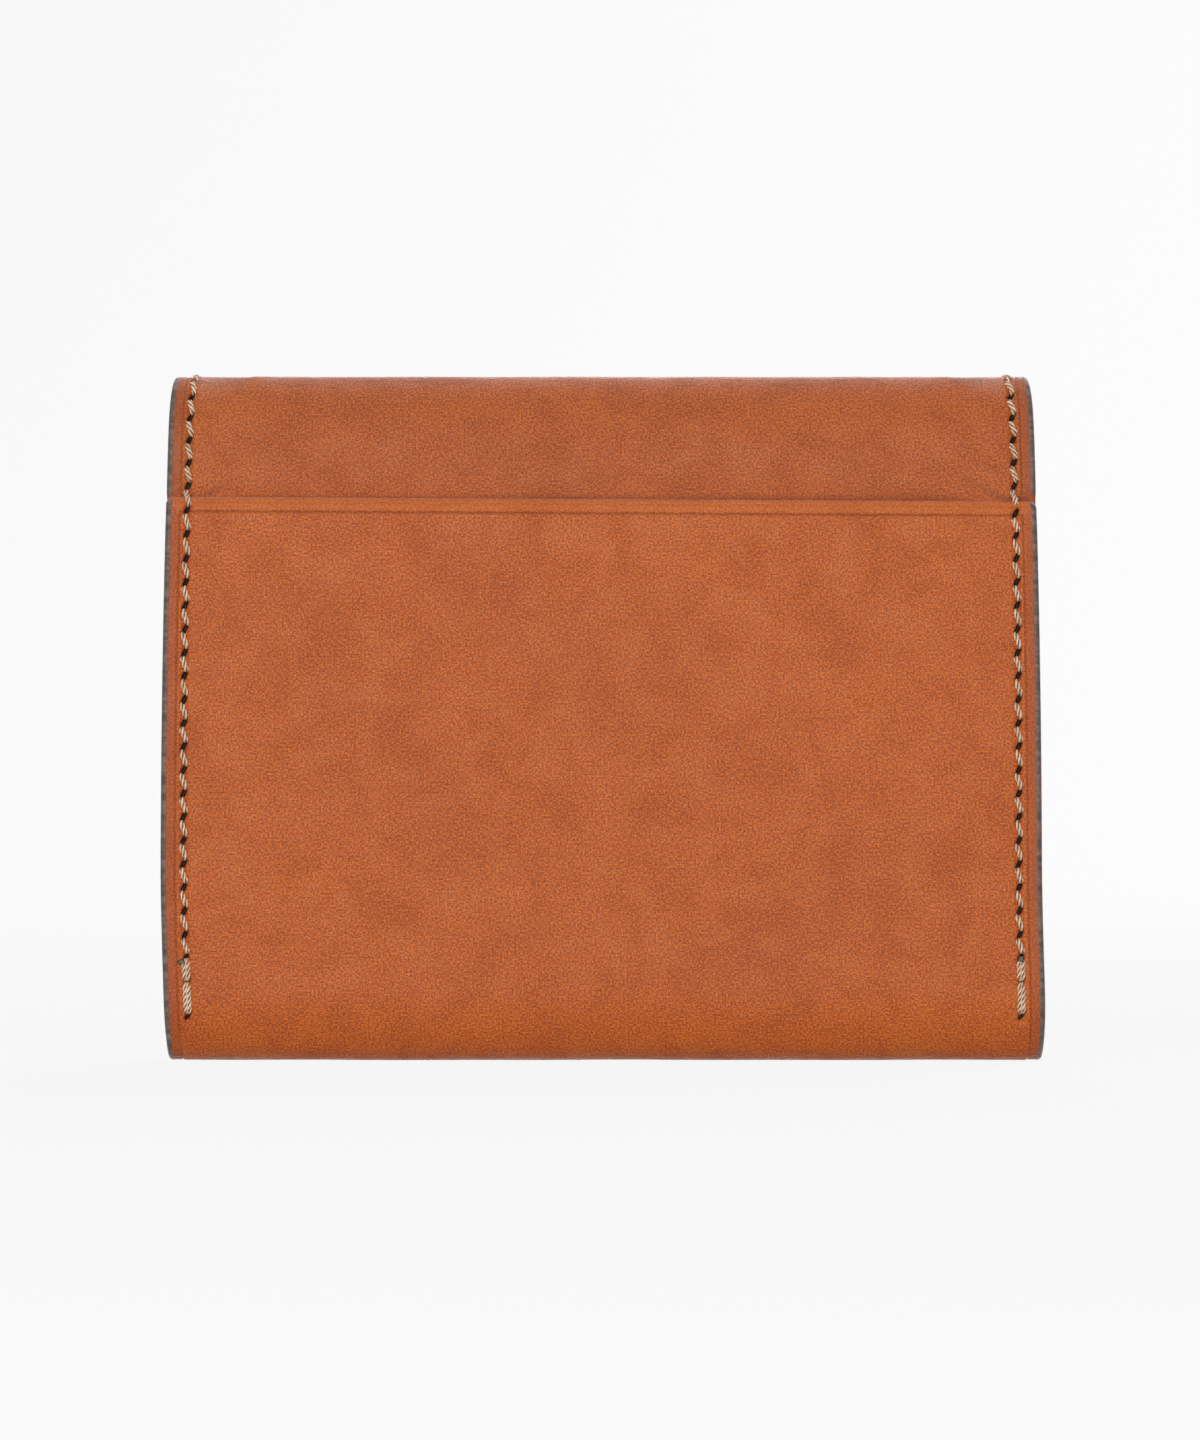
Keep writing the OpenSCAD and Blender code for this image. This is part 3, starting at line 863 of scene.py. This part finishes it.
def make_flap():
    """Flap leather, the seams that run on over the top, and the seam round the flap."""
    sheet = Sheet([squeezed(part) for part in flap_points(0.0)], -1, flap_half_anywhere)
    holes = np.arange(sheet.along(WALL_Y, WALL_SEAM_Z), sheet.along(SPINE_Y, TOP_Z), PITCH)
    rear = [side_seam(sheet, side, holes, -1) for side in (-1, 1)]
    loop = flap_loop(sheet, holes[-1], FLAP_CORNER, -1)
    # the last argument puts a painted shadow along the wall just above the slip pocket's mouth
    layout = Layout(LEATHER, (SMALL_CORNER, FLAP_CORNER), round(sheet.length / RELIEF_ROWS),
                    np.linspace(1, -1, 31), rear + [loop], creases=(True, False, True), seed=2.1,
                    painted_shadow_at=sheet.along(WALL_Y, MOUTH_Z + 0.2 * MM))
    split_at_spine("flap_leather", sheet, layout, FLAP_TAN_SHADED, "tan_leather",
                   ("flap_back_wall",), ("flap_front", "flap_spine"))
    for name, seam in (("left", rear[0]), ("right", rear[1])):
        bend(seam_thread(f"stitches_top_{name}", sheet.place, seam), "spine")
        make_bridge(name, seam.c[0], sheet)
    piece = seam_thread("stitches_flap", sheet.place, loop)
    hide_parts("thread_flap", "thread_spine")
    bend(piece, "flap")


def make_bridge(name, hole, flap_sheet):
    """The stitch that climbs from the slip pocket's lip onto the wall above it."""
    lip = MOUTH_Z + 0.25 * MM
    high, low = 73 * MM, 66 * MM      # ends of the path, past both holes
    step = Sheet([
        upright_line(rear_y, high, lip + 0.5 * MM, 12),
        upright_line(BACK_Y + LIP_DROP, lip - 0.1 * MM, lip - 0.7 * MM, 5),
        upright_line(lip_y, lip - 0.8 * MM, low, 12),
    ], 1, lambda y, z: shell_half(z))
    upper = np.array([hole[0], step.along(WALL_Y, float(flap_sheet.height(hole[1])))])
    lower = np.array([hole[0] - math.copysign(0.02 * MM, hole[0]), step.along(BACK_Y, BACK_SEAM_Z)])
    slant = Seam([upper, lower], [[0, 1]] * 2, 1).u * MM
    run = stitch_tubes(step.place, (upper + 0.62 * slant[0])[None], (lower - 0.42 * slant[1])[None],
                       lift=0.2 * MM)
    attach(thread_piece(f"stitch_over_lip_{name}", [run]), "root")


def squeezed(part):
    """Points of a path with its lower end pressed in where the shell turns in."""
    return np.stack([squeeze(part[:, 0], part[:, 1]), part[:, 1]], 1)


def make_lining():
    """Lining glued inside the flap leather, with the inside of the flap's seam."""
    inset = LEATHER + LINING
    parts = [squeezed(part) for part in flap_points(inset)]
    sheet = Sheet(parts, 1, lambda y, z: flap_half_anywhere(y, z) - 0.06 * MM)
    spine_s = sheet.along(SPINE_Y, TOP_Z - inset)
    loop = flap_loop(sheet, spine_s + 2.5 * MM, FLAP_CORNER - 0.06 * MM, 1)
    layout = Layout(LINING - 0.02 * MM, (SMALL_CORNER, FLAP_CORNER), round(sheet.length / RELIEF_ROWS),
                    np.linspace(1, -1, 25), [loop], creases=(False, False, False), seed=3.7)
    split_at_spine("lining", sheet, layout, LINING_LEATHER, "lining_leather",
                   ("lining_back",), ("lining_front", "lining_spine"))
    bend(seam_thread("stitches_flap_inside", sheet.place, loop), "flap")


# ---------------- inner leather
NOTCH_R = 9 * MM         # radius of the thumb notch
INNER_THICK = SLOT_HIGH.y - SLOT_LOW.y
# distances from the edge at which a plate has a row of points, closest at its rounding and its crease
PLATE_INSETS = np.array([0.0, 0.02, 0.06, 0.13, 0.22, 0.34, 0.5, 0.8, 1.3, 1.55, 1.7, 1.85, 2.1, 3.0]) * MM


def plate_piece(node, sheet, x, s, d, seed):
    """Inner leather from a grid of points (x, s), rounded near its border. d: distance to the ends."""
    thick = INNER_THICK
    d = np.minimum(d, np.maximum(sheet.half(s) - np.abs(x), 0))
    bulge = np.sqrt(1 - np.clip(1 - d / (0.45 * thick), 0, 1) ** 2)
    line = np.exp(-(((d - 1.7 * MM) / (0.14 * MM)) ** 2))
    rows, columns = x.shape
    cell = np.arange(rows - 1)[:, None] * columns + np.arange(columns - 1)
    quad = np.stack([cell, cell + 1, cell + 1 + columns, cell + columns], -1).reshape(-1, 4)
    verts, edge = [], np.where(bulge < 0.97, 1.0, 0.0)
    for sign in (1, -1):
        h = -thick / 2 + sign * thick / 2 * bulge + undulation(x, s, seed) * 0.5
        h = h - (0.08 * MM * line if sign > 0 else 0)
        verts.append(sheet.place(x.ravel(), s.ravel(), h.ravel()))
    none = np.zeros_like(x)
    both = {"edge": (edge, edge), "inner": (none, none + 1), "crease": (line, none),
            "hole": (none, none), "margin": (none, none), "fold": (none, none)}
    values = {key: np.concatenate([shown.ravel(), hidden.ravel()])
              for key, (shown, hidden) in both.items()}
    flat = (np.tile(x.ravel(), 2), np.tile(s.ravel(), 2), np.repeat([seed, seed + HIDDEN_LAYER], x.size))
    piece = leather_piece(f"{node}_leather", np.concatenate(verts),
                          np.concatenate([quad, quad[:, ::-1] + x.size]), flat, values)
    return finish_piece(piece, INNER_LEATHER, "inner_leather", node)


def make_slot_panel():
    """Panel in front of the lining, with a round thumb notch in its mouth."""
    line = upright_line(SLOT_HIGH.y, LAYER_START, SLOT_HIGH.z)
    sheet = Sheet([squeezed(line)], 1, lambda y, z: shell_half(z) - 0.25 * MM)
    length, half = sheet.length, float(sheet.half(sheet.length))
    insets = PLATE_INSETS
    beside = np.concatenate([half - insets, np.linspace(half - insets[-1], NOTCH_R, 18)[1:-1]])
    angles = np.linspace(0, 1, 41)

    def mouth_row(d):
        """Row of points at distance d inside the mouth and its notch."""
        r = NOTCH_R + d
        start = math.asin(d / r)
        turn = start + (math.pi - 2 * start) * angles
        shoulder = r * math.cos(start)
        x = shoulder + (beside - NOTCH_R) / (half - NOTCH_R) * (half - shoulder)
        return (np.concatenate([x, r * np.cos(turn), -x[::-1]]),
                np.concatenate([np.full_like(x, length - d), length - r * np.sin(turn),
                                np.full_like(x, length - d)]))

    last = insets[-1]
    top_x, top_s = mouth_row(last)
    shares = np.linspace(0, 1, 70)[:, None]
    body_s = last + (top_s - last)[None, :] * shares
    body_x = top_x[None, :] * sheet.half(body_s) / half
    foot_x = [top_x * float(sheet.half(d)) / half for d in insets[:-1]]
    foot_s = [np.full_like(top_x, d) for d in insets[:-1]]
    mouth = [mouth_row(d) for d in insets[-2::-1]]
    x = np.concatenate([foot_x, body_x, [m[0] for m in mouth]])
    s = np.concatenate([foot_s, body_s, [m[1] for m in mouth]])
    d = np.concatenate([insets[:-1], np.full(len(body_s), last), insets[-2::-1]])
    piece = plate_piece("card_slot_panel", sheet, x, s, np.repeat(d[:, None], x.shape[1], 1), 5.2)
    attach(piece, "root")


class Fold:
    """Gusset: a strip folded into a U that opens sideways. x runs round the U, s up the case."""

    def __init__(self, side):
        self.side = side
        self.middle_y = (GUSSET_LOW.y + GUSSET_HIGH.y) / 2
        self.r = (GUSSET_HIGH.y - GUSSET_LOW.y) / 2
        self.fold_x = GUSSET_LOW.x + self.r
        self.turn = math.pi / 2 * (self.r - INNER_THICK / 2)
        self.length = GUSSET_HIGH.z - LAYER_START

    def half(self, s):
        return self.turn + shell_half(LAYER_START + s) - 0.45 * MM - self.fold_x

    def place(self, x, s, h):
        angle = np.clip(x / self.turn, -1, 1) * math.pi / 2
        past = np.maximum(np.abs(x) - self.turn, 0)
        z = LAYER_START + s
        across = self.fold_x + past - (self.r + h) * np.cos(angle)
        y = squeeze(self.middle_y + (self.r + h) * np.sin(angle), z)
        return np.stack([self.side * across + lean(z), y, z], -1)


def make_gusset(side, node):
    """Gusset between the lining and the front panel."""
    fold, insets = Fold(side), PLATE_INSETS
    s = np.concatenate([insets, np.linspace(insets[-1], fold.length - insets[-1], 60)[1:-1],
                        fold.length - insets[::-1]])
    d = np.minimum(s, fold.length - s)
    middle = np.linspace(-1, 1, 31)
    x = np.array([np.concatenate([-h + insets[:-1], middle * (h - insets[-1]), (h - insets[:-1])[::-1]])
                  for h in fold.half(s)])
    wide = x.shape[1]
    bend(plate_piece(node, fold, x, np.repeat(s[:, None], wide, 1),
                     np.repeat(d[:, None], wide, 1), 6.4 + side), "gusset")


# ---------------- snap fastener
def lathe(name, profile, body, *nodes):
    """Brass piece turned about the snap's axis from points (radius, y)."""
    turns = 96
    a = np.linspace(0, 2 * math.pi, turns, endpoint=False)
    verts = [np.stack([r * np.cos(a), np.full(turns, y), SNAP_Z + r * np.sin(a)], 1) for r, y in profile]
    faces = []
    for k in range(len(profile) - 1):
        for i in range(turns):
            j = (i + 1) % turns
            faces.append([k * turns + i, k * turns + j, (k + 1) * turns + j, (k + 1) * turns + i])
    piece = mesh_piece(name, verts, faces, BRASS)
    close_up(piece.data)
    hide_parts(*nodes)
    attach(piece, body)


def rounded(corners, r):
    """Profile through corner points (radius, y) with each inner corner rounded by r."""
    points = [corners[0]]
    for before, at, after in zip(corners, corners[1:], corners[2:]):
        p, a, b = (np.array(v) for v in (at, before, after))
        u, v = (a - p) / np.linalg.norm(a - p), (b - p) / np.linalg.norm(b - p)
        reach = min(r, 0.45 * np.linalg.norm(a - p), 0.45 * np.linalg.norm(b - p))
        for t in np.linspace(0, 1, 6):
            points.append(tuple((1 - t) ** 2 * (p + reach * u) + 2 * t * (1 - t) * p
                                + t ** 2 * (p + reach * v)))
    return points + [corners[-1]]


def make_snap():
    """Cap and socket on the flap, stud and its rivet on the front panel."""
    face, top = CAP_HIGH.y - 1.2 * MM, CAP_HIGH.y
    cap_r = (CAP_HIGH.x - CAP_LOW.x) / 2
    dome = [(cap_r - 1.1 * MM, face + 0.42 * MM)]
    dome += [(r, top - 0.66 * MM * (r / (cap_r - 1.1 * MM)) ** 2)
             for r in np.linspace(cap_r - 1.2 * MM, 0, 14)]
    cap = [(0, CAP_LOW.y), (1.5 * MM, CAP_LOW.y), (1.5 * MM, face), (cap_r - 0.15 * MM, face),
           (cap_r, face + 0.2 * MM), (cap_r - 0.05 * MM, face + 0.5 * MM),
           (cap_r - 0.45 * MM, face + 0.66 * MM), (cap_r - 0.8 * MM, face + 0.5 * MM)]
    lathe("snap_cap_brass", rounded(cap + dome, 0.16 * MM), "flap", "snap_cap")
    base, rim = SOCKET_HIGH.y, SOCKET_LOW.y
    r = (SOCKET_HIGH.x - SOCKET_LOW.x) / 2
    socket = [(0, base), (r - 0.1 * MM, base), (r, base - 0.2 * MM), (r - 0.1 * MM, base - 0.45 * MM),
              (r - 0.8 * MM, base - 0.5 * MM), (r - 0.95 * MM, rim + 0.1 * MM), (r - 1.2 * MM, rim),
              (2.75 * MM, rim), (2.5 * MM, rim + 0.15 * MM), (2.62 * MM, rim + 0.45 * MM),
              (2.55 * MM, base - 0.3 * MM), (0, base - 0.3 * MM)]
    lathe("snap_socket_brass", rounded(socket, 0.12 * MM), "flap", "snap_socket")
    foot, tip = STUD_LOW.y, STUD_HIGH.y
    stud = [(0, foot), (3.9 * MM, foot), (4.0 * MM, foot + 0.15 * MM), (3.85 * MM, foot + 0.4 * MM),
            (2.9 * MM, foot + 0.5 * MM), (2.3 * MM, foot + 0.42 * MM), (1.65 * MM, foot + 0.5 * MM),
            (1.62 * MM, foot + 0.75 * MM), (2.0 * MM, foot + 1.0 * MM), (1.85 * MM, tip - 0.1 * MM),
            (1.4 * MM, tip), (0.5 * MM, tip), (0.4 * MM, tip - 0.25 * MM), (0, tip - 0.25 * MM)]
    lathe("snap_stud_brass", rounded(stud, 0.12 * MM), "front", "snap_stud")
    head, end = POST_LOW.y, POST_HIGH.y
    post = [(0, head), (2.4 * MM, head), (3.4 * MM, head + 0.18 * MM), (3.5 * MM, head + 0.4 * MM),
            (3.4 * MM, head + 0.5 * MM), (1.5 * MM, head + 0.5 * MM), (1.5 * MM, end), (0, end)]
    lathe("snap_post_brass", rounded(post, 0.12 * MM), "front", "snap_post")


make_shell()
make_flap()
make_lining()
make_slot_panel()
make_gusset(-1, "gusset_left")
make_gusset(1, "gusset_right")
make_snap()


# ---------------- stage, light and camera
def make_stage():
    """Pale floor that sweeps up into a backdrop well behind the case."""
    wide, near, far, rise, bend_r = 3.0, -1.6, 1.3, 1.6, 0.5
    profile = [(near, 0.0), (0.0, 0.0), (far - bend_r, 0.0)]
    profile += [(far - bend_r + bend_r * math.sin(a), bend_r - bend_r * math.cos(a))
                for a in np.radians(np.linspace(5, 90, 24))]
    profile.append((far, rise))
    verts = [(x, y, z) for y, z in profile for x in (-wide, wide)]
    faces = [(2 * i, 2 * i + 1, 2 * i + 3, 2 * i + 2) for i in range(len(profile) - 1)]
    n = Nodes("pale_sweep")
    n.set(Base_Color=(0.07, 0.07, 0.07), Roughness=1.0, Specular_IOR_Level=0.0, Emission_Color=(1, 1, 1))
    surroundings(n.tree, n.shader.inputs["Emission Strength"], 0.14, 0.885, 1.7)
    mesh_piece("floor", [verts], faces, n.material)


def surroundings(tree, socket, as_light, as_seen, mirrored):
    """Strength of the surroundings: shed on the case, seen behind it, and mirrored in its gloss."""
    path = tree.nodes.new("ShaderNodeLightPath")
    total = tree.nodes.new("ShaderNodeMath")
    rays = (("Is Camera Ray", as_light, as_seen), ("Is Glossy Ray", 0.0, mirrored - as_light))
    for (kind, low, high), term in zip(rays, total.inputs):
        step = tree.nodes.new("ShaderNodeMapRange")
        step.inputs["To Min"].default_value = low
        step.inputs["To Max"].default_value = high
        tree.links.new(path.outputs[kind], step.inputs["Value"])
        tree.links.new(step.outputs[0], term)
    tree.links.new(total.outputs[0], socket)


def make_world():
    """Even pale surroundings."""
    world = bpy.data.worlds.new("pale_room")
    bpy.context.scene.world = world
    world.use_nodes = True
    background = world.node_tree.nodes["Background"]
    background.inputs["Color"].default_value = (1, 1, 1, 1)
    surroundings(world.node_tree, background.inputs["Strength"], 0.21, 0.939, 0.8)


def soft_light(name, place, size, power):
    """Rectangular lamp that faces the middle of the case."""
    light = bpy.data.lights.new(name, "AREA")
    light.shape = "RECTANGLE"
    light.size, light.size_y = size
    light.energy = power
    lamp = add_object(name, light)
    lamp.location = place
    direction = Vector((0, 0, TOP_Z / 2)) - lamp.location
    lamp.rotation_mode = "QUATERNION"
    lamp.rotation_quaternion = direction.to_track_quat("-Z", "Y")
    return lamp


def make_lights():
    """Two lamps before the back of the case, one behind it, and one overhead that shows in gloss only."""
    soft_light("key", (-0.2, -1.05, 0.20), (0.7, 0.6), 10.2)
    soft_light("fill", (0.40, -1.0, 0.10), (0.5, 0.6), 3.2)
    soft_light("rear", (0.35, 1.0, 0.75), (0.8, 0.8), 10.5)
    overhead = soft_light("overhead", (0, 0.10, 0.95), (1.2, 0.9), 14.0)
    overhead.visible_diffuse = False


def make_camera():
    """Straight-on view of the back."""
    distance, frame_high, eye_z = 0.9, 179.1 * MM, 42.5 * MM
    camera = bpy.data.cameras.new("camera")
    camera.sensor_width = 36
    camera.lens = 36 / 2 / ((frame_high / 2) / distance)
    camera.clip_start, camera.clip_end = 0.05, 20
    eye = add_object("camera", camera)
    eye.location = (-0.31 * MM, BACK_Y - distance, eye_z)
    eye.rotation_euler = (math.radians(90), 0, 0)
    bpy.context.scene.camera = eye


make_stage()
make_world()
make_lights()
make_camera()
bpy.context.scene.view_settings.view_transform = "Standard"
